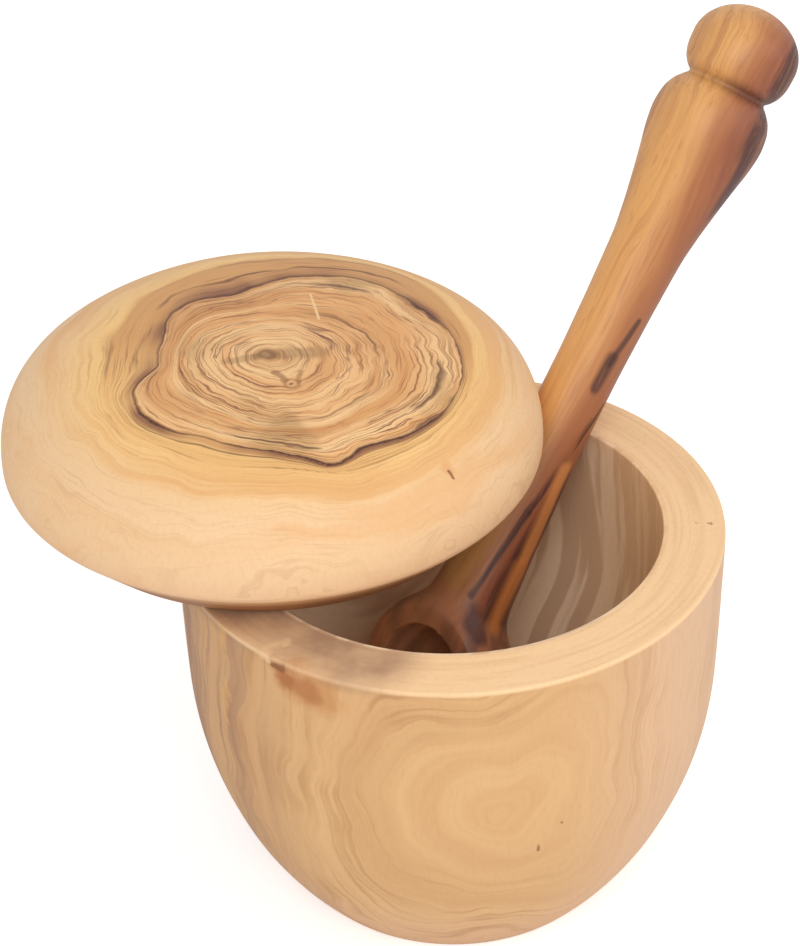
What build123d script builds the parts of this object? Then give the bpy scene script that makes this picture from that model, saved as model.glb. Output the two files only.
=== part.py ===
from build123d import *
import math
import os

os.makedirs("parts", exist_ok=True)

# Salt box turned from olive wood, with a lid that swings on a pin and a spoon that stands in the pot.
# Millimetres. Origin at the middle of the foot, +Z up, front towards -Y.

# pot, outside
pot_r = 45.0
pot_h = 68.2
shoulder_drop = 26.0
shoulder_in = 0.5
foot_r = 28.3
foot_round = 1.2
rim_outer_round = 0.6

# pot, inside
rim_w = 10.15
hollow_depth = 47.0
hollow_wall_drop = 20.0
hollow_wall_in = 0.95
hollow_floor_r = 10.0
rim_inner_round = 0.5

# swivel pin and its two bores
pin_d = 3.0
pin_play = 0.05
pin_end_play = 0.1
pin_chamfer = 0.3
pin_wall = 1.6
pot_bore_depth = 18.0
lid_bore_depth = 12.0

# lid
seat_gap = 0.3
lid_overlap = 0.1
lid_arris_in = 0.6
lid_arris_h = 6.6
lid_chamfer_run = 6.6
lid_under_round = 1.2
lid_edge_h = 7.9
lid_dome_h = 19.6
dome_height_power = 2.54
dome_radius_power = 3.01
dome_steps = 8

# spoon; each rise runs along its axis from the station before
lean = 37.84
heading = 41.96
side_step = 5.05
grip_play = 0.25
floor_play = 0.3
head_r = 12.9
head_half_l = 13.2
head_flat = 5.0
bowl_r = 8.6
bowl_lift = 2.5
bowl_tilt = 18.0
bowl_turn = 5.0
bowl_edge_round = 0.4
head_end_turn = 46.0
oval_steps = 8
neck_r = 6.9
neck_l = 15.0
grip_r = 5.6
grip_before_rim = 3.0
grip_after_rim = 14.0
stem_r = 7.3
stem_rise = 30.1
swell_r = 10.0
swell_rise = 15.8
groove_r = 7.35
groove_rise = 7.3
ball_r = 9.35
ball_rise = 6.5
ball_half_l = 7.7

# worked out from the sizes above
mouth_r = pot_r - rim_w
floor_h = pot_h - hollow_depth
bore_r = pin_d / 2 + pin_play
pin_y = mouth_r + pin_wall + bore_r
lid_z = pot_h + seat_gap
lid_r = pot_r - lid_overlap
lid_arris_r = lid_r - lid_arris_in
lid_under_r = lid_arris_r - lid_chamfer_run
lean_sin = math.sin(math.radians(lean))
lean_cos = math.cos(math.radians(lean))
head_drop = math.hypot(head_half_l * lean_cos, head_r * lean_sin)
rim_l = (hollow_depth - head_drop - floor_play) / lean_cos
rim_reach = math.sqrt(mouth_r**2 - side_step**2) - (grip_r + grip_play) / lean_cos
spoon_dir = Vector(0, 0, 1).rotate(Axis.Y, lean).rotate(Axis.Z, heading)
rim_point = Vector(rim_reach, side_step, pot_h).rotate(Axis.Z, heading)
head_point = rim_point - spoon_dir * rim_l
grip_start_l = rim_l - grip_before_rim
grip_end_l = rim_l + grip_after_rim
stem_l = grip_end_l + stem_rise
swell_l = stem_l + swell_rise
groove_l = swell_l + groove_rise
ball_l = groove_l + ball_rise


TOP = -1
BOTTOM = 0


def turned(outline):
    return revolve(Plane.XZ * make_face(outline), Axis.Z)


def ring_edges(body, level):
    rings = body.edges().filter_by(GeomType.CIRCLE)
    return rings.group_by(Axis.Z)[level].sort_by(SortBy.RADIUS)


def pin_bore(low, high):
    bore = Cylinder(bore_r, high - low, align=(Align.CENTER, Align.CENTER, Align.MIN))
    return Pos(0, pin_y, low) * bore


def make_pot():
    shoulder_end = (pot_r - shoulder_in, pot_h - shoulder_drop)
    shoulder = TangentArc((pot_r, pot_h), shoulder_end, tangent=(0, -1))
    belly = TangentArc(shoulder_end, (foot_r, 0), tangent=shoulder % 1)
    body = turned(shoulder + belly + Polyline((foot_r, 0), (0, 0), (0, pot_h), (pot_r, pot_h)))
    wall_end = (mouth_r - hollow_wall_in, pot_h - hollow_wall_drop)
    wall = TangentArc((mouth_r, pot_h), wall_end, tangent=(0, -1))
    bowl = TangentArc(wall_end, (hollow_floor_r, floor_h), tangent=wall % 1)
    top = Polyline((hollow_floor_r, floor_h), (0, floor_h), (0, pot_h), (mouth_r, pot_h))
    body -= turned(wall + bowl + top)
    body = fillet(ring_edges(body, TOP)[-1], rim_outer_round)
    body = fillet(ring_edges(body, TOP)[0], rim_inner_round)
    body = fillet(ring_edges(body, BOTTOM)[0], foot_round)
    return body - pin_bore(pot_h - pot_bore_depth, pot_h)


def make_pin():
    low = pot_h - pot_bore_depth + pin_end_play
    high = lid_z + lid_bore_depth - pin_end_play
    pin = Cylinder(pin_d / 2, high - low, align=(Align.CENTER, Align.CENTER, Align.MIN))
    pin = Pos(0, pin_y, low) * pin
    return chamfer(pin.edges().filter_by(GeomType.CIRCLE), pin_chamfer)


def dome_radius(height):
    rise = (height / lid_dome_h) ** dome_height_power
    return lid_r * (1 - rise) ** (1 / dome_radius_power)


def make_lid():
    """Lid over the pot, its underside at seat height."""
    arris = (lid_arris_r, lid_arris_h)
    edge = (lid_r, lid_edge_h)
    chamfer_face = Line((lid_under_r, 0), arris)
    shoulder = TangentArc(edge, arris, tangent=(0, -1))
    heights = [lid_dome_h * math.sin(math.pi / 2 * step / dome_steps) for step in range(dome_steps + 1)]
    dome = Spline(
        [(dome_radius(height), lid_edge_h + height) for height in heights],
        tangents=((0, 1), (-1, 0)),
    )
    middle = Polyline((0, lid_edge_h + lid_dome_h), (0, 0), (lid_under_r, 0))
    body = turned(chamfer_face + shoulder + dome + middle)
    body = fillet(ring_edges(body, BOTTOM)[0], lid_under_round)
    return Pos(0, 0, lid_z) * body - pin_bore(lid_z, lid_z + lid_bore_depth)


def axis_gap(point):
    """Distance from a point to the spoon's axis."""
    return (point - rim_point).cross(spoon_dir).length


def lid_gap(swing):
    """Least distance from the spoon's axis to the lid's edges, with the lid swung open."""
    centre = Vector(0, pin_y, 0) + Vector(0, -pin_y, 0).rotate(Axis.Z, -swing)
    gaps = []
    for radius, height in ((lid_arris_r, lid_arris_h), (lid_r, lid_edge_h)):
        for bearing in range(-90, 91):
            side = Vector(radius, 0, lid_z + height).rotate(Axis.Z, bearing)
            gaps.append(axis_gap(centre + side))
    return min(gaps)


def lid_swing():
    """Angle at which the lid leans just clear of the spoon's grip, in degrees."""
    low, high = 0.0, 180.0
    while high - low > 0.001:
        middle = (low + high) / 2
        if lid_gap(middle) < grip_r + grip_play:
            low = middle
        else:
            high = middle
    return high


def oval(middle_l, radius, half_l, start, end):
    """Stretch of an upright ellipse on the spoon's axis, between two angles in degrees."""
    turns = [math.radians(start + (end - start) * step / oval_steps) for step in range(oval_steps + 1)]
    points = [(radius * math.cos(turn), middle_l + half_l * math.sin(turn)) for turn in turns]
    headings = [(-radius * math.sin(turn), half_l * math.cos(turn)) for turn in (turns[0], turns[-1])]
    return Spline(points, tangents=headings)


def make_spoon():
    """Spoon turned about its own axis, then leaned into the pot."""
    head = oval(0, head_r, head_half_l, -90, head_end_turn)
    neck = Spline(head @ 1, (neck_r, neck_l), (grip_r, grip_start_l), tangents=(head % 1, (0, 1)))
    grip = Line((grip_r, grip_start_l), (grip_r, grip_end_l))
    stem = Spline((grip_r, grip_end_l), (stem_r, stem_l), (swell_r, swell_l), tangents=((0, 1), (0, 1)))
    cap = TangentArc((swell_r, swell_l), (groove_r, groove_l), tangent=(0, 1))
    ball_under = TangentArc((ball_r, ball_l), (groove_r, groove_l), tangent=(0, -1))
    ball_top = oval(ball_l, ball_r, ball_half_l, 0, 90)
    outline = head + neck + grip + stem + cap + ball_under + ball_top
    body = turned(outline + Line(head @ 0, ball_top @ 1))
    waste = Box(head_r, 4 * head_r, 4 * head_r, align=(Align.MIN, Align.CENTER, Align.CENTER))
    body -= Rot(0, bowl_tilt, 0) * (Pos(head_flat, 0, 0) * waste + Pos(bowl_lift, 0, 0) * Sphere(bowl_r))
    bowl = body.faces().filter_by(GeomType.SPHERE)[0]
    body = fillet(bowl.edges().filter_by(GeomType.CIRCLE), bowl_edge_round)
    upward = Vector(-lean_cos, 0, lean_sin).rotate(Axis.Z, heading)
    seat = Plane(origin=head_point, x_dir=upward, z_dir=spoon_dir)
    return seat.location * Rot(0, 0, bowl_turn) * body


pot = make_pot()
pivot_pin = make_pin()
lid = make_lid()
pivot = Axis((0, pin_y, 0), (0, 0, -1))
lid = lid.rotate(pivot, lid_swing())
spoon = make_spoon()

for name, solid in (("pot", pot), ("pivot_pin", pivot_pin), ("lid", lid), ("spoon", spoon)):
    export_step(solid, f"parts/{name}.step")
    size = solid.bounding_box().size
    print(f"{name}: {size.X:.2f} x {size.Y:.2f} x {size.Z:.2f} mm, {solid.volume / 1000:.1f} cm3")
print(f"lid swing {lid_swing():.2f} degrees")
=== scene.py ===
import math

import bpy
import numpy as np
from mathutils import Matrix, Vector


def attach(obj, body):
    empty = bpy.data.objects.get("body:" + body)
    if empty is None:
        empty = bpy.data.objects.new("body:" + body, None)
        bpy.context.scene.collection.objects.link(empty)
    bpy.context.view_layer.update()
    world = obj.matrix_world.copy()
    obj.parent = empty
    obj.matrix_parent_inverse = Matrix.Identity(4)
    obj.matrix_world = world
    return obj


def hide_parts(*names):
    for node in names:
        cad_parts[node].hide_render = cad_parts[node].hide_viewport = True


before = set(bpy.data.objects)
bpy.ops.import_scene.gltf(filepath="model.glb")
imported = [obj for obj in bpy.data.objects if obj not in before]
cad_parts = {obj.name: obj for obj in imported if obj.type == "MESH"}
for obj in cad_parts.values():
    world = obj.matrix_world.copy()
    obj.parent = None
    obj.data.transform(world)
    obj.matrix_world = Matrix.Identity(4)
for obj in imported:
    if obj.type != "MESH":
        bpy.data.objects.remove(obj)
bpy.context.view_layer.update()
print("frame loaded")

mm = 0.001
fineStep = 0.05  # millimetres between an outline's points while it is softened


# meshes

def makeObject(name, points, faces):
    # a smooth mesh object at the origin, from an array of points in metres and a list of faces
    mesh = bpy.data.meshes.new(name)
    mesh.from_pydata(points.tolist(), [], faces)
    mesh.polygons.foreach_set("use_smooth", np.ones(len(mesh.polygons), dtype=bool))
    mesh.update()
    piece = bpy.data.objects.new(name, mesh)
    bpy.context.collection.objects.link(piece)
    return piece


def gridFaces(rows, columns):
    # quads between rows of a grid that closes on itself around the columns, and fans at both poles
    row = np.arange(rows - 1)[:, None] * columns
    column = np.arange(columns)[None, :]
    onward = (column + 1) % columns
    quads = np.stack([row + column, row + onward, row + columns + onward, row + columns + column], axis=-1)
    low = rows * columns
    high = low + 1
    last = (rows - 1) * columns
    around = np.arange(columns)
    nextAround = (around + 1) % columns
    bottomFan = np.stack([np.full(columns, low), nextAround, around], axis=-1)
    topFan = np.stack([last + around, last + nextAround, np.full(columns, high)], axis=-1)
    return quads.reshape(-1, 4).tolist() + bottomFan.tolist() + topFan.tolist()


def tangentArc(start, heading, end, count):
    # arc that leaves start along heading and passes through end, as count points without the first, and its
    # heading there; centre = start + k n, with n square to heading and k = |chord|^2 / (2 chord.n)
    start, end = np.array(start, float), np.array(end, float)
    heading = np.array(heading, float) / np.hypot(*heading)
    normal = np.array([heading[1], -heading[0]])
    chord = end - start
    radius = chord @ chord / (2 * (chord @ normal))
    centre = start + radius * normal
    spokeA, spokeB = start - centre, end - centre
    turn = math.atan2(spokeA[0] * spokeB[1] - spokeA[1] * spokeB[0], spokeA @ spokeB)
    angles = np.linspace(0, turn, count + 1)[1:]
    spokes = np.stack([
        spokeA[0] * np.cos(angles) - spokeA[1] * np.sin(angles),
        spokeA[0] * np.sin(angles) + spokeA[1] * np.cos(angles),
    ], axis=-1)
    tail = np.array([-spokes[-1][1], spokes[-1][0]]) * np.sign(turn)
    return centre + spokes, tail


def pointsAt(places, lengths, outline):
    # points of the outline at the places given, straight between its own points at the lengths given
    return np.stack([np.interp(places, lengths, column) for column in outline.T], axis=-1)


def evenSteps(outline, step):
    # the same outline with points at even steps along it
    outline = np.array(outline, float)
    lengths = np.r_[0, np.cumsum(np.hypot(*np.diff(outline, axis=0).T))]
    count = max(int(lengths[-1] / step), 2)
    return pointsAt(np.linspace(0, lengths[-1], count + 1), lengths, outline)


def sharedSteps(outline, step, bend):
    # points at even amounts of length / step + turn / bend, so that they gather where the outline bends
    fine = evenSteps(outline, fineStep)
    run = np.diff(fine, axis=0)
    heading = np.unwrap(np.arctan2(run[:, 1], run[:, 0]))
    turn = np.abs(np.r_[0, np.diff(heading)])
    amount = np.r_[0, np.cumsum(np.hypot(*run.T) / step + turn / bend)]
    return pointsAt(np.linspace(0, amount[-1], int(amount[-1]) + 1), amount, fine)


def roundCorners(outline, width):
    # softens corners: the outline averaged over a window as wide as given, with its ends kept
    fine = evenSteps(outline, fineStep)
    half = max(int(width / fineStep / 2), 1)
    window = np.hanning(2 * half + 3)[1:-1]
    window /= window.sum()
    padded = np.pad(fine, ((half, half), (0, 0)), mode="reflect", reflect_type="odd")
    return np.stack([np.convolve(column, window, "valid") for column in padded.T], axis=-1)


def turnedPoints(outline, columns):
    # (r cos a, r sin a, h) for each outline point (r, h) and angle a, then the two points on the axis
    angles = np.arange(columns) * 2 * np.pi / columns
    radius, height = outline[1:-1, 0][:, None], outline[1:-1, 1][:, None]
    ring = np.stack([radius * np.cos(angles), radius * np.sin(angles), height + 0 * angles], axis=-1)
    poles = np.array([[0, 0, outline[0, 1]], [0, 0, outline[-1, 1]]])
    return np.concatenate([ring.reshape(-1, 3), poles])


def softWaves(points, size, seed):
    # a smooth field near -1 to 1: a mean of sines of the place over size, in directions drawn from the seed
    waves, gain = 6, 1.6
    generator = np.random.default_rng(seed)
    directions = generator.normal(size=(waves, 3))
    phases = generator.uniform(0, 2 * np.pi, waves)
    return np.sin(points @ directions.T / size + phases).mean(axis=1) * gain


# pin, in millimetres as all the pieces are, and the bores that it stands in

pin = dict(
    place=(0.0, 38.0), radius=1.5, low=50.3, high=80.4, chamfer=0.3, cornerRound=0.25, columns=64, step=0.2,
    bore=1.55, borePast=5.0, boreEdge=40.0,
)


def makePin():
    low, high, radius, chamfer = pin["low"], pin["high"], pin["radius"], pin["chamfer"]
    outline = np.array([
        (0, low), (radius - chamfer, low), (radius, low + chamfer), (radius, high - chamfer),
        (radius - chamfer, high), (0, high),
    ])
    outline = evenSteps(roundCorners(outline, pin["cornerRound"]), pin["step"])
    points = turnedPoints(outline, pin["columns"])
    points[:, :2] += pin["place"]
    return makeObject("pinSteel", points * mm, gridFaces(len(outline) - 2, pin["columns"]))


def drillBore(piece, low, high):
    # cuts the pin's bore into a piece between two heights
    outline = np.array([[0, low], [pin["bore"], low], [pin["bore"], high], [0, high]])
    points = turnedPoints(outline, pin["columns"])
    points[:, :2] += pin["place"]
    cutter = makeObject("cutter", points * mm, gridFaces(2, pin["columns"]))
    cut = piece.modifiers.new("bore", "BOOLEAN")
    cut.operation = "DIFFERENCE"
    cut.solver = "EXACT"
    cut.object = cutter
    bpy.context.view_layer.objects.active = piece
    bpy.ops.object.modifier_apply(modifier=cut.name)
    bpy.data.objects.remove(cutter)
    piece.data.set_sharp_from_angle(angle=math.radians(pin["boreEdge"]))


# pot

pot = dict(
    radius=45.0, height=68.2, shoulderDrop=26.0, shoulderIn=0.5, footRadius=28.3,
    rimWidth=10.15, depth=47.0, wallDrop=20.0, wallIn=0.95, floorRadius=10.0,
    cornerRound=1.1, boreDepth=18.0, columns=300, step=0.92, bend=0.16,
    shoulderPoints=60, bellyPoints=90, wallPoints=40, bowlPoints=60,
    # unevenness of the outside, and where it fades out
    wave=0.10, waveSize=12.0, waveSeed=3, waveRadius=37.0, waveBlend=3.0, waveTop=66.0, waveRise=8.0,
)


def potOutline():
    # the foot, two arcs that share a tangent up the outside, the rim, two more down the hollow, and its floor
    mouth = pot["radius"] - pot["rimWidth"]
    floorHeight = pot["height"] - pot["depth"]
    rimEdge, mouthEdge, down = (pot["radius"], pot["height"]), (mouth, pot["height"]), (0, -1)
    shoulderEnd = (pot["radius"] - pot["shoulderIn"], pot["height"] - pot["shoulderDrop"])
    shoulder, heading = tangentArc(rimEdge, down, shoulderEnd, pot["shoulderPoints"])
    belly, _ = tangentArc(shoulderEnd, heading, (pot["footRadius"], 0), pot["bellyPoints"])
    outside = np.concatenate([[rimEdge], shoulder, belly])[::-1]
    wallEnd = (mouth - pot["wallIn"], pot["height"] - pot["wallDrop"])
    wall, heading = tangentArc(mouthEdge, down, wallEnd, pot["wallPoints"])
    bowl, _ = tangentArc(wallEnd, heading, (pot["floorRadius"], floorHeight), pot["bowlPoints"])
    lines = np.concatenate([[(0, 0)], outside, [mouthEdge], wall, bowl, [(0, floorHeight)]])
    return sharedSteps(roundCorners(lines, pot["cornerRound"]), pot["step"], pot["bend"])


def makePot():
    # the turned outline, drawn in by wave (1 + soft waves) on the outside
    outline = potOutline()
    points = turnedPoints(outline, pot["columns"])
    radius, height = np.hypot(points[:, 0], points[:, 1]), points[:, 2]
    outside = np.clip((radius - pot["waveRadius"]) / pot["waveBlend"], 0, 1)
    outside *= np.clip((pot["waveTop"] - height) / pot["waveRise"], 0, 1)
    outside *= np.clip(height / pot["waveRise"], 0, 1)
    waves = 1 + softWaves(points, pot["waveSize"], pot["waveSeed"])
    points[:, :2] *= (1 - outside * pot["wave"] * waves / pot["radius"])[:, None]
    piece = makeObject("potWood", points * mm, gridFaces(len(outline) - 2, pot["columns"]))
    drillBore(piece, pot["height"] - pot["boreDepth"], pot["height"] + pin["borePast"])
    return piece


# lid

lid = dict(
    radius=44.9, arrisRadius=44.3, arrisHeight=6.6, underRadius=37.7, edgeHeight=7.9, domeHeight=19.6,
    heightPower=2.54, radiusPower=3.01, seat=68.5, swing=50.38, boreDepth=12.0,
    cornerRound=0.5, columns=360, step=0.5, domePoints=160, shoulderPoints=10,
    # unevenness of the dome, and the height over which it sets in
    wave=0.12, waveSize=11.0, waveSeed=5, waveRise=6.0,
)
# middle of its underside, where the pot's middle goes when it is swung about the pin
lidSwing = math.radians(lid["swing"])
lidPlace = np.array([
    -pin["place"][1] * math.sin(lidSwing), pin["place"][1] * (1 - math.cos(lidSwing)), lid["seat"],
])


def lidOutline():
    # dome: r = R (1 - (h / H)^p)^(1 / q)
    rise = np.sin(np.linspace(0, np.pi / 2, lid["domePoints"]))
    domeRadius = lid["radius"] * np.maximum(1 - rise ** lid["heightPower"], 0) ** (1 / lid["radiusPower"])
    dome = np.stack([domeRadius, lid["edgeHeight"] + lid["domeHeight"] * rise], axis=-1)
    edge, arris = (lid["radius"], lid["edgeHeight"]), (lid["arrisRadius"], lid["arrisHeight"])
    shoulder, _ = tangentArc(edge, (0, -1), arris, lid["shoulderPoints"])
    lines = np.concatenate([[(0, 0), (lid["underRadius"], 0)], shoulder[::-1], dome])
    return evenSteps(roundCorners(lines, lid["cornerRound"]), lid["step"])


def makeLid():
    # the turned outline, its dome lowered by wave (1 + soft waves)
    outline = lidOutline()
    points = turnedPoints(outline, lid["columns"])
    upper = np.clip((points[:, 2] - lid["edgeHeight"]) / lid["waveRise"], 0, 1)
    points[:, 2] -= upper * lid["wave"] * (1 + softWaves(points, lid["waveSize"], lid["waveSeed"]))
    points += lidPlace
    piece = makeObject("lidWood", points * mm, gridFaces(len(outline) - 2, lid["columns"]))
    drillBore(piece, lid["seat"] - pin["borePast"], lid["seat"] + lid["boreDepth"])
    return piece


# spoon

spoon = dict(
    lean=37.84, heading=41.96, head=(-2.659, 4.400, 34.588), headRadius=12.9, headHalf=13.2, headEnd=46.0,
    flat=5.0, tilt=18.0, turn=5.0, bowlMouth=8.2, bowlDepth=11.1, bowlPower=2.3, softness=0.5,
    carveEnd=13.0, carveBack=-2.0, ballRadius=9.35, ballPlace=116.3, ballHalf=7.7, groovePlace=109.8,
    # place along the handle from the head's middle, and the handle's radius there
    stations=[
        (9.5, 8.96), (10.8, 8.0), (12.4, 7.3), (15.2, 6.9), (19.2, 6.65), (24.6, 6.3), (32.0, 6.05),
        (39.0, 5.7), (46.0, 5.6), (56.5, 5.6), (66.0, 5.8), (74.2, 6.1), (80.2, 6.4), (84.7, 6.95),
        (89.8, 7.8), (95.0, 8.8), (99.5, 9.7), (102.5, 10.0), (105.1, 9.75), (107.3, 8.95),
        (108.9, 7.7), (109.8, 6.9), (110.6, 7.7), (112.2, 8.75), (114.2, 9.25), (116.3, 9.35),
    ],
    columns=224, step=0.42, headPoints=120, handlePoints=500, ballPoints=60,
)
spoonLean, spoonHeading, spoonTurn = (math.radians(spoon[name]) for name in ("lean", "heading", "turn"))
leanWay = np.array([math.cos(spoonHeading), math.sin(spoonHeading)])
spoonAxis = np.array([*(leanWay * math.sin(spoonLean)), math.cos(spoonLean)])
spoonUpward = np.array([*(leanWay * -math.cos(spoonLean)), math.sin(spoonLean)])
spoonFront = spoonUpward * math.cos(spoonTurn) + np.cross(spoonAxis, spoonUpward) * math.sin(spoonTurn)
spoonAcross = np.cross(spoonAxis, spoonFront)


def smoothCurve(stations, at):
    # cubic through the stations, its slope at each one the harmonic mean of the slopes beside it
    place, value = np.array(stations, float).T
    step = np.diff(place)
    slope = np.diff(value) / step
    product = slope[:-1] * slope[1:]
    inner = np.where(product > 0, 2 * product / np.where(product > 0, slope[:-1] + slope[1:], 1), 0)
    tangent = np.r_[slope[0], inner, slope[-1]]
    index = np.clip(np.searchsorted(place, at) - 1, 0, len(step) - 1)
    part = (at - place[index]) / step[index]
    cube, square = part ** 3, part ** 2
    before = (2 * cube - 3 * square + 1) * value[index]
    before += (cube - 2 * square + part) * step[index] * tangent[index]
    after = (3 * square - 2 * cube) * value[index + 1]
    after += (cube - square) * step[index] * tangent[index + 1]
    return before + after


def spoonOutline():
    # head: part of an ellipse; handle: a smooth curve through its stations; ball end: a quarter of an ellipse
    turn = np.linspace(-np.pi / 2, math.radians(spoon["headEnd"]), spoon["headPoints"])
    head = np.stack([spoon["headRadius"] * np.cos(turn), spoon["headHalf"] * np.sin(turn)], axis=-1)
    places = np.linspace(spoon["stations"][0][0], spoon["stations"][-1][0], spoon["handlePoints"])[1:]
    handle = np.stack([smoothCurve(spoon["stations"], places), places], axis=-1)
    turn = np.linspace(0, np.pi / 2, spoon["ballPoints"])[1:]
    ballHeight = spoon["ballPlace"] + spoon["ballHalf"] * np.sin(turn)
    ball = np.stack([spoon["ballRadius"] * np.cos(turn), ballHeight], axis=-1)
    outline = np.concatenate([head, handle, ball])
    outline[0, 0] = outline[-1, 0] = 0
    return evenSteps(outline, spoon["step"])


def carveBowl(points):
    # front of the head is lowered to the scoop's face, and in its bowl to f - d (1 - (r / R)^p)^(1 / p), with
    # a soft minimum so that the edges are rounded
    tilt = math.radians(spoon["tilt"])
    faceNormal = np.array([math.cos(tilt), 0, -math.sin(tilt)])
    faceAlong = np.array([math.sin(tilt), 0, math.cos(tilt)])
    height, along, across = points @ faceNormal, points @ faceAlong, points[:, 1]
    reach = np.hypot(along, across) / spoon["bowlMouth"]
    curve = np.maximum(1 - np.minimum(reach, 1) ** spoon["bowlPower"], 0) ** (1 / spoon["bowlPower"])
    surface = spoon["flat"] - spoon["bowlDepth"] * curve
    lowering = spoon["softness"] * np.logaddexp(0, (height - surface) / spoon["softness"])
    carved = (points[:, 2] < spoon["carveEnd"]) & (height > spoon["carveBack"])
    return points - np.where(carved, lowering, 0)[:, None] * faceNormal


def makeSpoon():
    # the turned outline, carved and then set on the spoon's own three directions
    outline = spoonOutline()
    points = carveBowl(turnedPoints(outline, spoon["columns"]))
    place = np.array(spoon["head"]) + points @ np.stack([spoonFront, spoonAcross, spoonAxis])
    return makeObject("spoonWood", place * mm, gridFaces(len(outline) - 2, spoon["columns"]))


potPiece = makePot()
print("pot made")
pinPiece = makePin()
print("pin made")
lidPiece = makeLid()
print("lid made")
spoonPiece = makeSpoon()
print("spoon made")


# colours and node helpers

def paint(red, green, blue):
    # a colour given from 0 to 255, as the shader's linear values
    values = np.array([red, green, blue]) / 255
    linear = np.where(values <= 0.04045, values / 12.92, ((values + 0.055) / 1.055) ** 2.4)
    return (*linear.tolist(), 1.0)


class Net:
    # short calls for the nodes of one material or group

    def __init__(self, tree):
        self.tree = tree

    def node(self, kind, **settings):
        made = self.tree.nodes.new(kind)
        for name, value in settings.items():
            setattr(made, name, value)
        return made

    def feed(self, socket, value):
        if isinstance(value, bpy.types.NodeSocket):
            self.tree.links.new(value, socket)
        elif value is not None:
            socket.default_value = value

    def surface(self, shading, kind="ShaderNodeOutputMaterial"):
        self.feed(self.node(kind).inputs["Surface"], shading)

    def math(self, operation, first, second=None, clamp=False):
        made = self.node("ShaderNodeMath", operation=operation, use_clamp=clamp)
        self.feed(made.inputs[0], first)
        self.feed(made.inputs[1], second)
        return made.outputs[0]

    def chain(self, operation, values):
        total = values[0]
        for value in values[1:]:
            total = self.math(operation, total, value)
        return total

    def plus(self, *values):
        return self.chain("ADD", values)

    def times(self, *values):
        return self.chain("MULTIPLY", values)

    def vector(self, operation, first, second=None, scale=None):
        made = self.node("ShaderNodeVectorMath", operation=operation)
        self.feed(made.inputs[0], first)
        self.feed(made.inputs[1], second)
        if scale is not None:
            self.feed(made.inputs["Scale"], scale)
        number = operation in ("LENGTH", "DOT_PRODUCT", "DISTANCE")
        return made.outputs["Value" if number else "Vector"]

    def stretch(self, vector, factors):
        return self.vector("MULTIPLY", vector, factors)

    def split(self, vector):
        made = self.node("ShaderNodeSeparateXYZ")
        self.feed(made.inputs[0], vector)
        return made.outputs[0], made.outputs[1], made.outputs[2]

    def join(self, x, y, z):
        made = self.node("ShaderNodeCombineXYZ")
        for socket, value in zip(made.inputs, (x, y, z)):
            self.feed(socket, value)
        return made.outputs[0]

    def noise(self, vector, scale, detail=2.0, roughness=0.5, colour=False):
        made = self.node("ShaderNodeTexNoise", noise_dimensions="3D")
        self.feed(made.inputs["Vector"], vector)
        self.feed(made.inputs["Scale"], scale)
        self.feed(made.inputs["Detail"], detail)
        self.feed(made.inputs["Roughness"], roughness)
        return made.outputs["Color"] if colour else made.outputs[0]

    def step(self, value, low, high, most=1.0, least=0.0):
        # least below low, most above high, smooth between; it falls instead where low is above high
        made = self.node("ShaderNodeMapRange", interpolation_type="SMOOTHSTEP")
        self.feed(made.inputs["Value"], value)
        rising = not (isinstance(low, (int, float)) and isinstance(high, (int, float)) and low > high)
        self.feed(made.inputs["From Min"], low if rising else high)
        self.feed(made.inputs["From Max"], high if rising else low)
        made.inputs["To Min"].default_value = least if rising else most
        made.inputs["To Max"].default_value = most if rising else least
        return made.outputs[0]

    def between(self, mask, low, high):
        # low where the mask is 0, high where it is 1
        return self.plus(low, self.times(mask, high - low))

    def line(self, value, at, width):
        # 1 where value is at the place given, 0 beyond the width
        away = self.math("ABSOLUTE", self.math("SUBTRACT", value, at))
        return self.math("SUBTRACT", 1.0, self.step(away, 0.0, width))

    def blend(self, mask, low, high):
        made = self.node("ShaderNodeMix", data_type="RGBA")
        self.feed(made.inputs["Factor"], mask)
        self.feed(made.inputs[6], low)
        self.feed(made.inputs[7], high)
        return made.outputs[2]

    def lay(self, colour, tint, *masks):
        # the tint over the colour, as far as the masks multiplied together allow
        return self.blend(self.times(*masks), colour, tint)

    def group(self, tree, **values):
        made = self.node("ShaderNodeGroup", node_tree=tree)
        for name, value in values.items():
            self.feed(made.inputs[name], value)
        return made.outputs


def newGroup(name, inputs, outputs):
    tree = bpy.data.node_groups.new(name, "ShaderNodeTree")
    kinds = dict(vector="NodeSocketVector", value="NodeSocketFloat")
    for label, (kind, default) in inputs.items():
        socket = tree.interface.new_socket(label, in_out="INPUT", socket_type=kinds[kind])
        if default is not None:
            socket.default_value = default
    for label, kind in outputs.items():
        tree.interface.new_socket(label, in_out="OUTPUT", socket_type=kinds[kind])
    net = Net(tree)
    return net, net.node("NodeGroupInput").outputs, net.node("NodeGroupOutput").inputs


# the rings' pattern: how far its noises are stretched along depth and rings, and where each shows
ringPattern = dict(
    slant=0.7, lineRoughness=0.55, fadeScale=75.0, fadeAt=(0.36, 0.62, 1.0, 0.3),
    dashes=(2.1, 4.0, 4.0), dashAt=(0.58, 0.70), tones=(0.32, 0.6, 0.6), toneRoughness=0.6,
)


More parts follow.
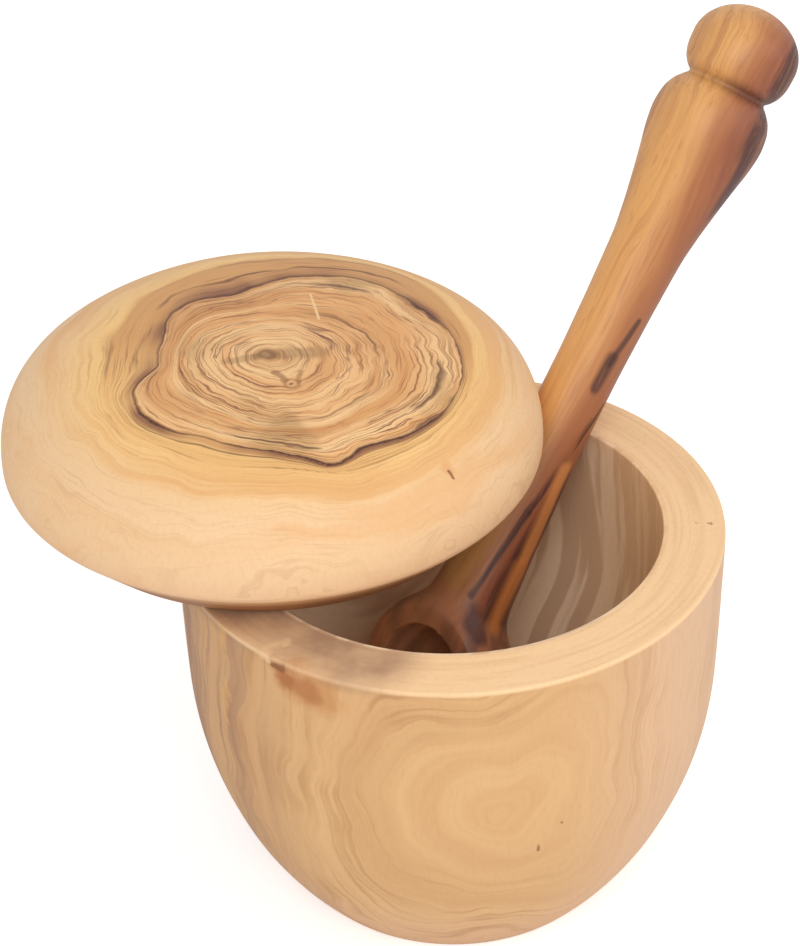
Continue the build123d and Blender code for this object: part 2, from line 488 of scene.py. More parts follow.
def makeRingsGroup():
    # growth rings on a depth in rings: thin lines where a noise drawn out along the rings crosses its middle,
    # short dashes where a finer one is high, and broad tones
    net, taken, given = newGroup(
        "growthRings",
        dict(Place=("vector", None), Depth=("value", 0.0), Width=("value", 0.03), Drift=("value", 30.0)),
        dict(Lines="value", Dashes="value", Tones="value"),
    )
    x, y, z = net.split(net.vector("SCALE", taken["Place"], scale=taken["Drift"]))
    drawn = net.join(taken["Depth"], x, net.plus(y, net.times(z, ringPattern["slant"])))
    middle = net.noise(drawn, 1.0, 2.0, ringPattern["lineRoughness"])
    fade = net.step(net.noise(taken["Place"], ringPattern["fadeScale"], 1.0), *ringPattern["fadeAt"])
    net.feed(given["Lines"], net.times(net.line(middle, 0.5, taken["Width"]), fade))
    short = net.noise(net.stretch(drawn, ringPattern["dashes"]), 1.0, 1.0)
    net.feed(given["Dashes"], net.step(short, *ringPattern["dashAt"]))
    broad = net.stretch(drawn, ringPattern["tones"])
    net.feed(given["Tones"], net.noise(broad, 1.0, 4.0, ringPattern["toneRoughness"]))
    return net.tree


def makeFibreGroup():
    # fine fibres drawn out along the grain, as a tone and as short dark pores
    poreScale, poreAt = 0.55, (0.62, 0.72)
    net, taken, given = newGroup(
        "woodFibre",
        dict(Place=("vector", None), Fine=("value", 2600.0), Drawn=("value", 160.0)),
        dict(Tone="value", Pores="value"),
    )
    factors = net.join(taken["Fine"], taken["Fine"], taken["Drawn"])
    stretched = net.stretch(taken["Place"], factors)
    net.feed(given["Tone"], net.noise(stretched, 1.0, 2.0, 0.6))
    pores = net.noise(net.vector("SCALE", stretched, scale=poreScale), 1.0, 1.0)
    net.feed(given["Pores"], net.step(pores, *poreAt))
    return net.tree


def makeMarkGroup():
    # a mark from one place to another: 1 near the straight line between them, 0 beyond its width
    core, tiny = 0.3, 1e-12
    net, taken, given = newGroup(
        "softMark",
        dict(Place=("vector", None), Start=("vector", None), End=("vector", (0, 0, 1)), Width=("value", mm)),
        dict(Mark="value"),
    )
    reach = net.vector("SUBTRACT", taken["End"], taken["Start"])
    offset = net.vector("SUBTRACT", taken["Place"], taken["Start"])
    squared = net.plus(net.vector("DOT_PRODUCT", reach, reach), tiny)
    part = net.math("DIVIDE", net.vector("DOT_PRODUCT", offset, reach), squared, clamp=True)
    away = net.vector("DISTANCE", offset, net.vector("SCALE", reach, scale=part))
    edge = net.step(away, net.times(taken["Width"], core), taken["Width"])
    net.feed(given["Mark"], net.math("SUBTRACT", 1.0, edge))
    return net.tree


growthRings = makeRingsGroup()
woodFibre = makeFibreGroup()
softMark = makeMarkGroup()


def newMaterial(name, piece):
    material = bpy.data.materials.new(name)
    material.use_nodes = True
    material.node_tree.nodes.clear()
    piece.data.materials.clear()
    piece.data.materials.append(material)
    return Net(material.node_tree)


def finishSurface(net, finish, colour, tone, relief):
    # colour, and a roughness and a bump that follow the grain
    bump = net.node("ShaderNodeBump")
    net.feed(bump.inputs["Height"], relief)
    bump.inputs["Strength"].default_value = 1.0
    bump.inputs["Distance"].default_value = finish["relief"]
    shader = net.node("ShaderNodeBsdfPrincipled")
    net.feed(shader.inputs["Base Color"], colour)
    net.feed(shader.inputs["Roughness"], net.between(tone, *finish["roughness"]))
    net.feed(shader.inputs["Normal"], bump.outputs["Normal"])
    shader.inputs["Specular IOR Level"].default_value = finish["specular"]
    net.surface(shader.outputs["BSDF"])
    return shader


def objectPlace(net):
    return net.node("ShaderNodeTexCoord").outputs["Object"]


def storedField(net, name):
    return net.node("ShaderNodeAttribute", attribute_name=name).outputs["Fac"]


def storeField(piece, name, values):
    field = piece.data.attributes.new(name, "FLOAT", "POINT")
    field.data.foreach_set("value", values.astype(np.float32))


def piecePoints(piece):
    # the piece's points in millimetres
    points = np.empty(len(piece.data.vertices) * 3)
    piece.data.vertices.foreach_get("co", points)
    return points.reshape(-1, 3) / mm


def wobble(net, place, scale, size):
    # a noise about zero, of the size given
    return net.times(net.math("SUBTRACT", net.noise(place, scale), 0.5), size)


def blotches(net, place, scale, *limits):
    # patches of a plain noise, by the limits that a step takes
    return net.step(net.noise(place, scale, 1.0), *limits)


def ringLayer(net, place, growth, count, start=0.0, **settings):
    # the rings' pattern with count rings to each step of growth
    depth = net.plus(net.times(growth, count), start)
    return net.group(growthRings, Place=place, Depth=depth, **settings)


def addMarks(net, place, colour, marks, source=None, scale=0.0, detail=0.0, bend=0.0):
    # each mark is a start, an end and a width in millimetres, a strength and a colour; where a source is
    # given, a noise of it bends their edges by up to half of bend
    if source is not None:
        bends = net.vector("SUBTRACT", net.noise(source, scale, detail, colour=True), (0.5, 0.5, 0.5))
        place = net.vector("ADD", place, net.vector("SCALE", bends, scale=bend))
    for start, end, width, strength, tint in marks:
        ends = dict(Start=tuple(v * mm for v in start), End=tuple(v * mm for v in end))
        mark = net.group(softMark, Place=place, Width=width * mm, **ends)
        colour = net.lay(colour, paint(*tint), mark["Mark"], strength)
    return colour


# lid wood

lidWood = dict(
    side=paint(236, 197, 152), lowSide=paint(230, 187, 145), gold=paint(244, 198, 130),
    shade=paint(212, 156, 98), faint=paint(226, 168, 106), heart=paint(232, 173, 114),
    heartLight=paint(244, 200, 144), heartDark=paint(210, 148, 90), green=paint(178, 138, 88),
    line=paint(82, 44, 32), fineLine=paint(146, 86, 46), purple=paint(122, 74, 58),
    # underside: painted shade, and painted bounce light on its lower lip
    under=paint(158, 106, 66), lipBounceLight=paint(204, 156, 108),
    # noise scale and size of the rings' unevenness, and its share by growth: the slow one is less near the
    # pith, the quick one outside the heart
    slowWave=(85.0, 0.34), slowShare=(0.0, 1.6, 1.0, 0.35), quickWave=(300.0, 0.11), quickShare=(1.0, 0.3),
    # rings to each step of growth, and the settings of the groups
    fine=dict(count=15.0, Width=0.04, Drift=26.0), strong=dict(count=5.0, start=7.0, Width=0.016, Drift=30.0),
    bands=dict(count=8.0, Width=0.05, Drift=9.0), fibre=dict(Fine=1500.0, Drawn=900.0),
    # growth, height or tone where a colour is absent and where it is full, then its most and its least
    goldAt=(3.75, 2.9), shadeAt=(3.08, 2.9), shadeBehind=(-0.016, 0.004, 0.95, 0.25),
    bandAt=(0.48, 0.62), bandEnd=(4.05, 3.5, 0.6), lowSideAt=(12.0, 6.5), sapLineAt=(3.4, 2.6, 0.74, 0.14),
    sapStreakAt=(0.5, 0.66, 0.45), innerAt=(2.5, 1.9), heartAt=(2.03, 1.98), heartLightAt=(0.36, 0.62),
    heartDarkAt=(0.53, 0.38, 0.65), greenScale=62.0, greenAt=(0.54, 0.66, 0.5),
    lineStrength=0.7, dashStrength=0.5, strongLineStrength=0.8,
    haloStart=(1.97, 2.0), haloEnd=(2.5, 2.05), haloBlotch=(75.0, 0.38, 0.62, 0.85, 0.25),
    # dark lines along the rings: growth, width and waver, then the scale of the noise that breaks them, its
    # limits, and the line's most and least
    darkLines=[
        (2.0, 0.075, 0.0, (75.0, 0.38, 0.62, 1.0, 0.65)),
        (2.42, 0.07, 0.3, (60.0, 0.40, 0.56, 0.75)),
        (2.95, 0.05, 0.0, (48.0, 0.44, 0.60, 0.5)),
        (1.72, 0.05, 0.0, (66.0, 0.50, 0.60, 0.8)),
        (1.05, 0.035, 0.0, (95.0, 0.42, 0.58, 0.6)),
    ],
    waverScale=140.0,
    # knot, cracks and specks, bent by a noise of this scale, detail and size in metres
    markBend=(420.0, 1.0, 0.0012),
    marks=[
        ((0.0, -5.6, 27.5), (0.6, -6.0, 27.5), 2.4, 0.75, (92, 58, 40)),
        ((2.5, -5.6, 27.5), (8.5, -5.0, 27.2), 2.6, 0.45, (120, 80, 48)),
        ((-6.0, -7.5, 27.2), (-1.5, -6.3, 27.5), 1.4, 0.4, (120, 88, 58)),
        ((0.0, -5.7, 27.5), (0.1, -5.9, 27.5), 1.0, 0.8, (176, 140, 96)),
        ((1.6, -11.0, 27.3), (3.6, -13.4, 27.2), 0.8, 0.6, (120, 66, 36)),
        ((5.8, -10.8, 27.3), (5.4, -13.4, 27.2), 0.7, 0.5, (120, 66, 36)),
        ((4.5, -14.0, 27.2), (4.7, -14.4, 27.2), 1.5, 0.8, (150, 88, 48)),
        ((4.5, -14.0, 27.2), (4.7, -14.4, 27.2), 0.9, 0.9, (232, 182, 128)),
        ((4.6, -14.2, 27.2), (4.6, -14.3, 27.2), 0.4, 0.8, (110, 62, 38)),
        ((28.4, -27.4, 19.8), (29.2, -28.0, 19.5), 1.5, 0.45, (222, 150, 92)),
        ((29.2, -28.0, 19.4), (29.9, -28.8, 18.6), 0.42, 0.8, (110, 62, 38)),
    ],
    scratch=[((6.5, 13.9, 26.9), (8.2, 5.4, 27.3), 0.34, 0.9, (244, 206, 150))],
    # heights in millimetres of the underside, painted darker as shade under the lid's edge, and of its paler
    # lip, painted bounce light
    underAt=(6.9, 6.3), lipAt=(3.0, 6.3), fibreAt=(0.42, 0.7, 0.10),
    roughness=(0.44, 0.60), relief=0.00007, fibreRelief=0.3, lineRelief=0.6, specular=0.3,
)
# radii in millimetres about the pith, by angle in degrees, of the rings that show most
lidRings = dict(
    pith=(0.7, -5.9),
    loop=[
        (0, 16.7), (30, 15.5), (60, 14.2), (90, 12.8), (120, 13.5), (150, 14.7), (180, 14.3), (210, 14.0),
        (240, 14.4), (270, 16.5), (300, 17.7), (330, 18.0),
    ],
    heart=[
        (0, 30.8), (20, 30.8), (40, 29.6), (62, 29.5), (80, 27.4), (100, 22.3), (110, 21.3), (126, 22.8),
        (146, 20.9), (164, 18.4), (184, 18.2), (200, 22.9), (215, 24.3), (233, 23.6), (245, 22.3),
        (265, 23.2), (281, 25.2), (293, 28.2), (305, 27.2), (320, 28.8), (340, 30.4),
    ],
    shade=[
        (0, 32.5), (30, 34.5), (60, 38.0), (90, 35.2), (120, 33.2), (150, 29.0), (180, 27.0), (210, 27.8),
        (240, 26.8), (270, 26.8), (297, 29.6), (315, 30.4), (335, 31.4),
    ],
    sideRun=10.0,  # millimetres down the side for each step of growth
)


def ringRadius(stations, angles):
    # radius at each angle of a closed smooth curve through the stations
    turned = [(angle + 360 * turn, radius) for turn in (-1, 0, 1) for angle, radius in stations]
    return smoothCurve(turned, angles)


def storeLidGrowth(piece):
    # growth of the wood: 0 at the pith, 1 at the inner loop, 2 at the heart's edge, 3 where its shade ends, 4
    # at the rim, straight between these along each spoke, and on from there down the side
    points = piecePoints(piece) - lidPlace
    pithX, pithY = lidRings["pith"]
    x, y = points[:, 0] - pithX, points[:, 1] - pithY
    angle = np.degrees(np.arctan2(y, x)) % 360
    reach = np.hypot(x, y)
    toward = (x * pithX + y * pithY) / np.maximum(reach, 1e-6)
    rim = np.sqrt(lid["radius"] ** 2 - pithX ** 2 - pithY ** 2 + toward ** 2) - toward
    radii = [0 * reach] + [ringRadius(lidRings[name], angle) for name in ("loop", "heart", "shade")] + [rim]
    growth = sum(np.clip((reach - inner) / (outer - inner), 0, 1) for inner, outer in zip(radii, radii[1:]))
    growth += np.maximum(lid["edgeHeight"] - points[:, 2], 0) / lidRings["sideRun"]
    storeField(piece, "growth", growth)


def paintLid(piece, wood):
    storeLidGrowth(piece)
    net = newMaterial("lidWood", piece)
    centred = net.vector("SUBTRACT", objectPlace(net), tuple(v * mm for v in lidPlace))
    _, y, z = net.split(centred)
    height = net.times(z, 1 / mm)
    raw = storedField(net, "growth")
    inner = net.step(raw, *wood["innerAt"])
    slow = net.times(wobble(net, centred, *wood["slowWave"]), net.step(raw, *wood["slowShare"]))
    quick = net.times(
        wobble(net, centred, *wood["quickWave"]), net.step(raw, *wood["innerAt"], *wood["quickShare"]),
    )
    growth = net.plus(raw, slow, quick)
    fine, strong, bands = (
        ringLayer(net, centred, growth, **wood[name]) for name in ("fine", "strong", "bands")
    )
    fibre = net.group(woodFibre, Place=centred, **wood["fibre"])

    # sapwood, from the shade about the heart to the pale side
    colour = net.blend(net.step(raw, *wood["goldAt"]), wood["side"], wood["gold"])
    behind = net.step(y, *wood["shadeBehind"])
    colour = net.lay(colour, wood["shade"], net.step(growth, *wood["shadeAt"]), behind)
    band = net.step(bands["Tones"], *wood["bandAt"])
    colour = net.lay(colour, wood["faint"], band, net.step(raw, *wood["bandEnd"]))
    colour = net.lay(colour, wood["lowSide"], net.step(height, *wood["lowSideAt"]))
    colour = net.lay(colour, wood["fineLine"], fine["Lines"], net.step(growth, *wood["sapLineAt"]))
    colour = net.lay(colour, wood["faint"], net.step(strong["Tones"], *wood["sapStreakAt"]))

    # heartwood
    tone = net.blend(net.step(fine["Tones"], *wood["heartLightAt"]), wood["heart"], wood["heartLight"])
    tone = net.lay(tone, wood["heartDark"], net.step(strong["Tones"], *wood["heartDarkAt"]))
    tone = net.lay(tone, wood["green"], net.step(net.noise(centred, wood["greenScale"]), *wood["greenAt"]))
    tone = net.lay(tone, wood["fineLine"], fine["Lines"], wood["lineStrength"])
    tone = net.lay(tone, wood["fineLine"], fine["Dashes"], wood["dashStrength"])
    tone = net.lay(tone, wood["purple"], strong["Lines"], wood["strongLineStrength"])
    colour = net.blend(net.step(growth, *wood["heartAt"]), colour, tone)

    # dark halo about the heart, and dark lines that follow the rings
    halo = net.times(net.step(growth, *wood["haloStart"]), net.step(growth, *wood["haloEnd"]))
    colour = net.lay(colour, wood["purple"], halo, blotches(net, centred, *wood["haloBlotch"]))
    for at, width, waver, breaks in wood["darkLines"]:
        path = net.plus(growth, wobble(net, centred, wood["waverScale"], waver)) if waver else growth
        colour = net.lay(colour, wood["line"], net.line(path, at, width), blotches(net, centred, *breaks))
    colour = addMarks(net, centred, colour, wood["marks"], centred, *wood["markBend"])
    colour = addMarks(net, centred, colour, wood["scratch"])

    # underside: painted shade under the lid's edge, paler towards its lip as painted bounce light
    underTone = net.blend(net.step(height, *wood["lipAt"]), wood["under"], wood["lipBounceLight"])
    colour = net.blend(net.step(height, *wood["underAt"]), colour, underTone)
    colour = net.lay(colour, wood["heartDark"], net.step(fibre["Tone"], *wood["fibreAt"]))
    raised = net.times(fibre["Tone"], wood["fibreRelief"])
    relief = net.math("SUBTRACT", raised, net.times(fine["Lines"], inner, wood["lineRelief"]))
    finishSurface(net, wood, colour, fibre["Tone"], relief)


# pot wood

potWood = dict(
    face=paint(217, 170, 118), pale=paint(228, 186, 148), light=paint(224, 180, 126),
    ring=paint(184, 132, 84), stripe=paint(152, 108, 86), rim=paint(248, 208, 160),
    # the hollow's colours, from inside on, are painted paler than the outside wood as painted light in the
    # hollow
    rimLine=paint(214, 166, 116), worn=paint(160, 122, 98), inside=paint(246, 216, 182),
    insideDark=paint(214, 178, 144), insideGold=paint(248, 202, 144),
    # middle of the rings on the front, and radii by angle in degrees of their inner oval, in millimetres
    centre=(6.5, -44.0, 42.0), squeeze=26.0, back=22.0,
    oval=[
        (0, 19), (30, 24), (55, 27), (80, 21), (110, 19), (140, 19), (180, 20), (225, 17), (270, 19),
        (315, 22),
    ],
    # noise scale and size of the rings' unevenness, rings to each step of growth, and the groups' settings
    slowWave=(42.0, 0.55), quickWave=(160.0, 0.10), broad=dict(count=4.8, Width=0.05, Drift=12.0),
    fine=dict(count=12.0, Width=0.07, Drift=20.0), fibre=dict(Fine=1700.0, Drawn=420.0),
    # growth, side, height or tone where a colour is absent and where it is full, then its most and its least
    blankAt=(0.75, 1.15), leastBlank=0.12, leftAt=(-0.5, -0.95), rightAt=(0.3, 0.85), lightAt=(0.38, 0.64),
    footAt=(22.0, 4.0, 0.7), ringAt=(0.5, 0.7, 0.26), stripeAt=(0.44, 0.56, 0.8, 0.2),
    fibreAt=(0.46, 0.75, 0.10), lineStrength=(0.13, 0.55), fineLineStrength=0.12,
    # the hollow, by reach from the axis and height, and the rim's top, by height, in millimetres
    insideReach=(35.9, 35.1), insideFloor=(20.0, 20.8), rimTop=(67.2, 67.9),
    rimGrain=(1.1, 40.0, 40.0), rimLineAt=(0.42, 0.75, 0.34),
    wear=dict(Start=(-0.036, -0.018, 0.0682), End=(-0.014, -0.035, 0.0682), Width=0.0125),
    wearTop=(65.5, 67.8), wearScale=150.0, wearAt=(0.3, 0.7, 0.85, 0.5),
    # streaks in the hollow: the direction that they are counted along, and their waver and stretch
    streakWay=(-0.5, 0.8, -0.15), streakWave=(70.0, 0.003), streakGrain=(330.0, 26.0, 26.0),
    streakAt=(0.42, 0.54), insideGoldAt=(0.020, 0.036, 0.7),
    # stains, chip, pits and cracks, bent by a noise of this scale, detail and size in metres
    markBend=(260.0, 3.0, 0.005),
    marks=[
        ((-24.5, -37.6, 65.0), (-20.0, -40.3, 64.4), 5.2, 0.45, (190, 118, 58)),
        ((-25.5, -37.0, 64.8), (-22.5, -39.0, 64.2), 3.2, 0.5, (160, 90, 42)),
        ((-27.8, -35.2, 66.8), (-25.6, -37.0, 65.0), 2.2, 0.5, (166, 96, 48)),
        ((-28.2, -34.8, 67.0), (-26.8, -36.0, 66.6), 1.0, 0.7, (120, 66, 36)),
        ((-26.0, -31.5, 68.2), (-28.8, -33.6, 68.2), 1.6, 0.7, (236, 196, 150)),
        ((17.0, -40.9, 38.5), (17.1, -40.9, 38.3), 0.5, 0.8, (132, 84, 52)),
        ((13.6, -41.6, 34.4), (13.8, -41.6, 34.3), 0.5, 0.8, (132, 84, 52)),
        ((39.6, -1.5, 68.2), (43.4, -1.8, 68.2), 0.22, 0.65, (120, 78, 50)),
        ((-35.3, -26.9, 68.0), (-36.6, -25.6, 48.0), 1.3, 0.45, (226, 176, 100)),
    ],
    roughness=(0.46, 0.62), relief=0.00004, specular=0.3,
)


def storePotGrowth(piece):
    # growth of the wood: distance from the front's centre over the inner oval's radius that way, the height
    # squeezed to h / (1 + (d / s)^2) away from the front, and the depth added at right angles
    x, depth, z = (piecePoints(piece) - potWood["centre"]).T
    level = z / (1 + (np.hypot(x, depth) / potWood["squeeze"]) ** 2)
    angle = np.degrees(np.arctan2(level, x)) % 360
    across = np.hypot(x, level) / ringRadius(potWood["oval"], angle)
    storeField(piece, "growth", np.hypot(across, depth / potWood["back"]))


def paintPot(piece, wood):
    storePotGrowth(piece)
    net = newMaterial("potWood", piece)
    place = objectPlace(net)
    x, y, z = net.split(place)
    height = net.times(z, 1 / mm)
    waves = [wobble(net, place, *wood[name]) for name in ("slowWave", "quickWave")]
    growth = net.plus(storedField(net, "growth"), *waves)
    broad, fine = (ringLayer(net, place, growth, **wood[name]) for name in ("broad", "fine"))
    fibre = net.group(woodFibre, Place=place, **wood["fibre"])
    blank = net.step(growth, *wood["blankAt"])
    mostly = net.step(growth, *wood["blankAt"], 1.0, wood["leastBlank"])

    # outside: rings in front, blank at their middle, pale to the right and striped to the left
    reach = net.vector("LENGTH", net.join(x, y, 0.0))
    facing = net.math("DIVIDE", x, net.math("MAXIMUM", reach, mm))
    colour = net.blend(net.step(fine["Tones"], *wood["lightAt"]), wood["face"], wood["light"])
    colour = net.lay(colour, wood["pale"], net.step(facing, *wood["rightAt"]))
    colour = net.lay(colour, wood["pale"], net.step(height, *wood["footAt"]))
    colour = net.lay(colour, wood["ring"], net.step(broad["Tones"], *wood["ringAt"]))
    side = net.step(facing, *wood["rightAt"], *wood["lineStrength"])
    colour = net.lay(colour, wood["ring"], broad["Lines"], side, mostly)
    colour = net.lay(colour, wood["ring"], fine["Lines"], blank, wood["fineLineStrength"])
    stripes = net.step(fine["Tones"], *wood["stripeAt"])
    colour = net.lay(colour, wood["stripe"], net.step(facing, *wood["leftAt"]), stripes)

    # rim, worn beside the lid
    reachMm = net.times(reach, 1 / mm)
    inside = net.times(net.step(reachMm, *wood["insideReach"]), net.step(height, *wood["insideFloor"]))
    rim = net.times(net.step(height, *wood["rimTop"]), net.math("SUBTRACT", 1.0, inside))
    around = net.noise(net.stretch(net.join(reachMm, x, y), wood["rimGrain"]), 1.0)
    rimTone = net.blend(net.step(around, *wood["rimLineAt"]), wood["rim"], wood["rimLine"])
    colour = net.blend(rim, colour, rimTone)
    wear = net.group(softMark, Place=place, **wood["wear"])["Mark"]
    wearTone = net.step(net.noise(place, wood["wearScale"], 3.0), *wood["wearAt"])
    colour = net.lay(colour, wood["worn"], wear, wearTone, net.step(height, *wood["wearTop"]))

    # hollow, painted paler than the outside wood as painted light
    lean = net.vector("DOT_PRODUCT", place, wood["streakWay"])
    lean = net.plus(lean, wobble(net, place, *wood["streakWave"]))
    streak = net.noise(net.stretch(net.join(lean, x, z), wood["streakGrain"]), 1.0)
    hollow = net.blend(net.step(streak, *wood["streakAt"]), wood["insideDark"], wood["inside"])
    hollow = net.lay(hollow, wood["insideGold"], net.step(x, *wood["insideGoldAt"]))
    colour = net.blend(inside, colour, hollow)
    colour = addMarks(net, place, colour, wood["marks"], place, *wood["markBend"])
    colour = net.lay(colour, wood["ring"], net.step(fibre["Tone"], *wood["fibreAt"]))
    finishSurface(net, wood, colour, fibre["Tone"], fibre["Tone"])


# spoon wood

spoonWood = dict(
    gold=paint(222, 164, 98), tan=paint(206, 146, 88), brown=paint(168, 104, 64), red=paint(142, 80, 56),
    # hollow: the scoop's bowl, painted paler as painted light
    dark=paint(74, 40, 36), salmon=paint(192, 128, 92), hollow=paint(204, 152, 118),
    grey=paint(138, 96, 72),
    # direction across the handle in which the layers go from gold to dark, in degrees, and how they waver;
    # the layers are partly the wood's own colour and partly painted shade on the darker side
    facing=118.0, drawn=(1.0, 1.0, 0.16), slowWave=(110.0, 6.0), quickWave=(420.0, 1.6), shift=0.9,
    headShift=(0.055, 0.015, 3.4),
    # colour, the millimetres across where it is absent and where it is full, and its strength
    layers=[
        ("tan", -2.0, 2.4, 1.0), ("brown", 0.8, 4.6, 1.0), ("red", 4.4, 7.0, 1.0), ("dark", 7.2, 8.6, 0.9),
    ],
    grain=(0.6, 0.22, 0.0), rings=dict(count=0.9, Width=0.05, Drift=60.0),
    fibre=dict(Fine=2400.0, Drawn=180.0),
    brownAt=(0.46, 0.62, 0.5), goldAt=(0.42, 0.30, 0.5), lineStrength=0.4,
    # width in millimetres of the painted shade in the crease under the ball, then its strength by layer
    creaseWidth=2.0, creaseShadeAt=(-3.0, 4.0, 0.7, 0.2),
    # the head, by metres along the handle; the scoop's bowl, painted paler as painted light in its shade, by
    # millimetres below its face and past its edge
    headAt=(0.0125, 0.0095, 0.75), headScale=240.0, salmonAt=(0.4, 0.62),
    scoopBelow=(0.2, 1.6), scoopEdge=(0.2, -0.4), scoopFront=(-0.001, 0.001, 0.9),
    # marks by millimetres to the front, across and along, and the noise that bends them, its size in metres
    markBend=(330.0, 2.0, 0.0018),
    marks=[
        ((-1.2, 5.6, 53.0), (3.5, 4.9, 31.6), 0.7, 0.9, (66, 36, 32)),
        ((3.5, 4.9, 31.6), (6.2, 3.6, 14.4), 0.9, 0.9, (66, 36, 32)),
        ((0.4, 5.8, 50.0), (5.0, 4.0, 24.0), 0.5, 0.7, (104, 56, 44)),
        ((2.6, 5.2, 55.5), (2.3, 5.3, 61.0), 1.7, 0.8, (64, 36, 32)),
        ((2.3, 5.3, 60.0), (1.0, 5.7, 68.5), 1.0, 0.8, (64, 36, 32)),
        ((0.5, 5.7, 40.3), (0.4, 6.4, 24.0), 2.2, 0.75, (214, 140, 78)),
        ((0.4, 6.6, 22.0), (1.5, 8.2, 12.0), 3.0, 0.8, (208, 132, 70)),
        ((6.4, 5.0, 12.5), (5.0, 7.6, 8.6), 2.6, 0.8, (80, 48, 46)),
        ((4.6, -5.4, 14.0), (7.8, 1.6, 11.0), 4.2, 0.7, (196, 132, 96)),
        ((-0.5, 8.6, 12.0), (0.8, 7.4, 16.5), 0.7, 0.8, (84, 44, 32)),
    ],
    poreStrength=0.3, roughness=(0.34, 0.52), relief=0.00005, specular=0.4,
)


def paintSpoon(piece, wood):
    net = newMaterial("spoonWood", piece)
    centred = net.vector("SUBTRACT", objectPlace(net), tuple(v * mm for v in spoon["head"]))
    front, across, along = (
        net.vector("DOT_PRODUCT", centred, tuple(way)) for way in (spoonFront, spoonAcross, spoonAxis)
    )
    local = net.join(front, across, along)
    drawn = net.stretch(local, wood["drawn"])
    facing = math.radians(wood["facing"])
    depth = net.vector("DOT_PRODUCT", local, (math.cos(facing), math.sin(facing), 0.0))
    beside = net.vector("DOT_PRODUCT", local, (-math.sin(facing), math.cos(facing), 0.0))
    waves = [wobble(net, drawn, *wood[name]) for name in ("slowWave", "quickWave")]
    headShift = net.step(along, *wood["headShift"])
    layer = net.plus(net.times(depth, 1 / mm), *waves, wood["shift"], headShift)
    rings = ringLayer(net, net.stretch(net.join(beside, along, 0.0), wood["grain"]), layer, **wood["rings"])
    fibre = net.group(woodFibre, Place=local, **wood["fibre"])

    # layers from gold to dark across the handle: partly the wood's own colour, partly painted shade on the
    # darker side
    colour = wood["gold"]
    for tint, absent, full, most in wood["layers"]:
        colour = net.lay(colour, wood[tint], net.step(layer, absent, full, most))
    colour = net.lay(colour, wood["brown"], net.step(rings["Tones"], *wood["brownAt"]))
    colour = net.lay(colour, wood["gold"], net.step(rings["Tones"], *wood["goldAt"]))
    colour = net.lay(colour, wood["red"], rings["Lines"], wood["lineStrength"])

    # painted shade in the crease under the ball
    creaseShade = net.line(net.times(along, 1 / mm), spoon["groovePlace"], wood["creaseWidth"])
    colour = net.lay(colour, wood["dark"], creaseShade, net.step(layer, *wood["creaseShadeAt"]))

    # head, and the scoop's bowl painted paler as painted light
    salmon = net.step(net.noise(drawn, wood["headScale"]), *wood["salmonAt"])
    headTone = net.blend(salmon, wood["grey"], wood["salmon"])
    colour = net.lay(colour, headTone, net.step(along, *wood["headAt"]))
    tilt = math.radians(spoon["tilt"])
    level = net.vector("DOT_PRODUCT", local, (math.cos(tilt), 0.0, -math.sin(tilt)))
    faceAlong = net.vector("DOT_PRODUCT", local, (math.sin(tilt), 0.0, math.cos(tilt)))
    fromMiddle = net.vector("LENGTH", net.join(faceAlong, across, 0.0))
    below = net.step(level, *((spoon["flat"] - drop) * mm for drop in wood["scoopBelow"]))
    inBowl = net.step(fromMiddle, *((spoon["bowlMouth"] + past) * mm for past in wood["scoopEdge"]))
    colour = net.lay(colour, wood["hollow"], below, inBowl, net.step(front, *wood["scoopFront"]))
    colour = addMarks(net, local, colour, wood["marks"], drawn, *wood["markBend"])
    colour = net.lay(colour, wood["brown"], fibre["Pores"], wood["poreStrength"])
    finishSurface(net, wood, colour, fibre["Tone"], fibre["Tone"])


# pin steel

pinSteel = dict(
    dark=paint(176, 174, 170), light=paint(206, 204, 200), brush=(200.0, 200.0, 9000.0),
    roughness=(0.26, 0.42), relief=0.00001, specular=0.5,
)


def paintPin(piece, steel):
    net = newMaterial("pinSteel", piece)
    brushed = net.noise(net.stretch(objectPlace(net), steel["brush"]), 1.0)
    colour = net.blend(brushed, steel["dark"], steel["light"])
    shader = finishSurface(net, steel, colour, brushed, brushed)
    shader.inputs["Metallic"].default_value = 1.0


paintPot(potPiece, potWood)
paintPin(pinPiece, pinSteel)
paintLid(lidPiece, lidWood)
paintSpoon(spoonPiece, spoonWood)
print("finishes made")

for piece, node, body, slot in (
    (potPiece, "pot", "pot_body", "pot_wood"),
    (pinPiece, "pivot_pin", "pot_body", "pin_steel"),
    (lidPiece, "lid", "lid_body", "lid_wood"),
    (spoonPiece, "spoon", "spoon_body", "spoon_wood"),
):
    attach(piece, body)
    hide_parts(node)


# floor, light and camera

studio = dict(
    floorSize=6.0, floor=paint(242, 242, 242), glow=0.42, sky=0.68,
    # place, width in metres and power of each lamp
    lamps=dict(keyLamp=((-0.12, -0.75, 0.68), 0.7, 3.6), fillLamp=((0.7, -0.3, 0.5), 0.7, 1.5)),
    # the photograph's camera: it faces the middle of the rim, and its axis meets the picture at axisX, axisY
    focus=(0.0, 0.0, pot["height"] * mm), distance=0.450, elevation=35.40, roll=-0.91, focalPixels=2741.11,
    frameWidth=800, frameHeight=946, axisX=450.59, axisY=521.52, sensor=36.0, nearest=0.01,
)


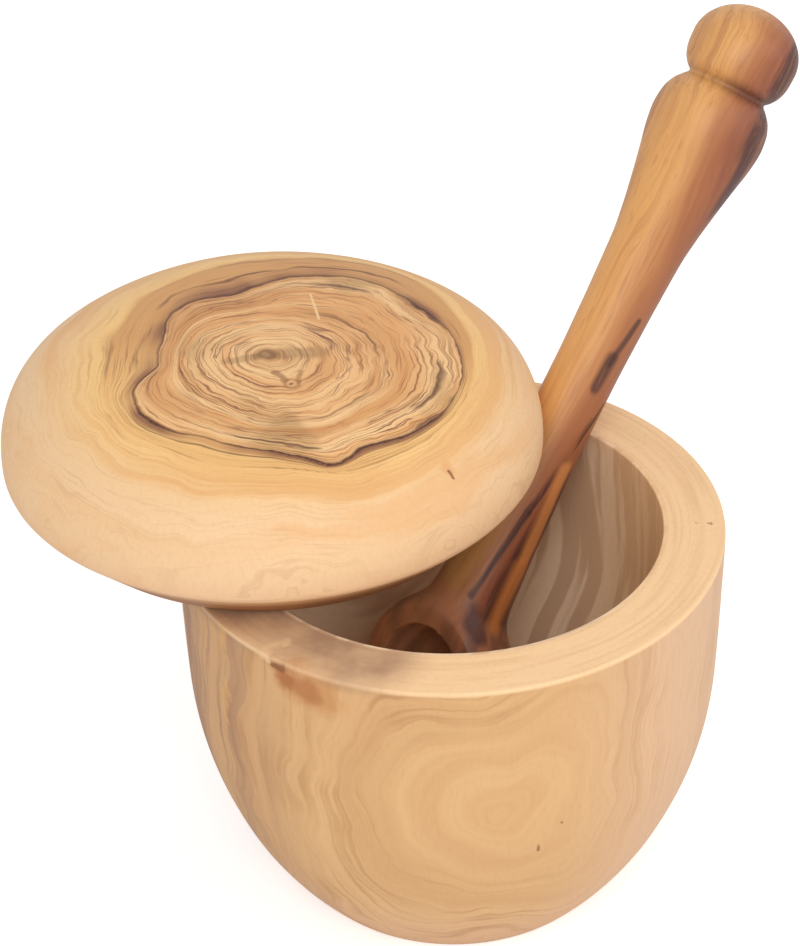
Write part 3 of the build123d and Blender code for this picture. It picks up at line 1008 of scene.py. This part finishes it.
def makeFloor():
    half = studio["floorSize"] / 2
    corners = np.array([[-half, -half, 0], [half, -half, 0], [half, half, 0], [-half, half, 0]])
    piece = makeObject("floor", corners, [[0, 1, 2, 3]])
    net = newMaterial("floor", piece)
    diffuse = net.node("ShaderNodeBsdfDiffuse")
    diffuse.inputs["Color"].default_value = studio["floor"]
    glow = net.node("ShaderNodeEmission")
    glow.inputs["Strength"].default_value = studio["glow"]
    both = net.node("ShaderNodeAddShader")
    net.feed(both.inputs[0], diffuse.outputs[0])
    net.feed(both.inputs[1], glow.outputs[0])
    path = net.node("ShaderNodeLightPath")
    mixed = net.node("ShaderNodeMixShader")
    net.feed(mixed.inputs[0], path.outputs["Is Camera Ray"])
    net.feed(mixed.inputs[1], diffuse.outputs[0])
    net.feed(mixed.inputs[2], both.outputs[0])
    net.surface(mixed.outputs[0])
    return piece


def makeSky():
    # white where the camera or a reflection sees it, dimmer as a light
    world = bpy.data.worlds.new("studio")
    bpy.context.scene.world = world
    world.use_nodes = True
    world.node_tree.nodes.clear()
    net = Net(world.node_tree)
    path = net.node("ShaderNodeLightPath")
    seen = net.math("MAXIMUM", path.outputs["Is Camera Ray"], path.outputs["Is Glossy Ray"])
    background = net.node("ShaderNodeBackground")
    background.inputs["Color"].default_value = (1, 1, 1, 1)
    net.feed(background.inputs["Strength"], net.between(seen, studio["sky"], 1.0))
    net.surface(background.outputs[0], "ShaderNodeOutputWorld")


def makeLamp(name, place, size, power):
    # a round lamp that faces the focus
    lamp = bpy.data.lights.new(name, "AREA")
    lamp.shape = "DISK"
    lamp.size = size
    lamp.energy = power
    piece = bpy.data.objects.new(name, lamp)
    bpy.context.collection.objects.link(piece)
    direction = np.array(studio["focus"]) - np.array(place)
    piece.location = place
    piece.rotation_euler = Vector(direction).to_track_quat("-Z", "Y").to_euler()


def makeCamera():
    elevation = math.radians(studio["elevation"])
    lens = bpy.data.cameras.new("camera")
    lens.sensor_fit = "HORIZONTAL"
    lens.sensor_width = studio["sensor"]
    lens.lens = studio["focalPixels"] / studio["frameWidth"] * studio["sensor"]
    lens.shift_x = (studio["frameWidth"] / 2 - studio["axisX"]) / studio["frameWidth"]
    lens.shift_y = (studio["axisY"] - studio["frameHeight"] / 2) / studio["frameWidth"]
    lens.clip_start = studio["nearest"]
    camera = bpy.data.objects.new("camera", lens)
    bpy.context.collection.objects.link(camera)
    away = np.array([0, -math.cos(elevation), math.sin(elevation)]) * studio["distance"]
    place = np.array(studio["focus"]) + away
    tip = Matrix.Rotation(math.pi / 2 - elevation, 4, "X")
    roll = Matrix.Rotation(math.radians(studio["roll"]), 4, "Z")
    camera.matrix_world = Matrix.Translation(place.tolist()) @ tip @ roll
    bpy.context.scene.camera = camera


makeFloor()
makeSky()
for lampName, lampSettings in studio["lamps"].items():
    makeLamp(lampName, *lampSettings)
makeCamera()
bpy.context.scene.view_settings.view_transform = "Standard"
print("studio made")
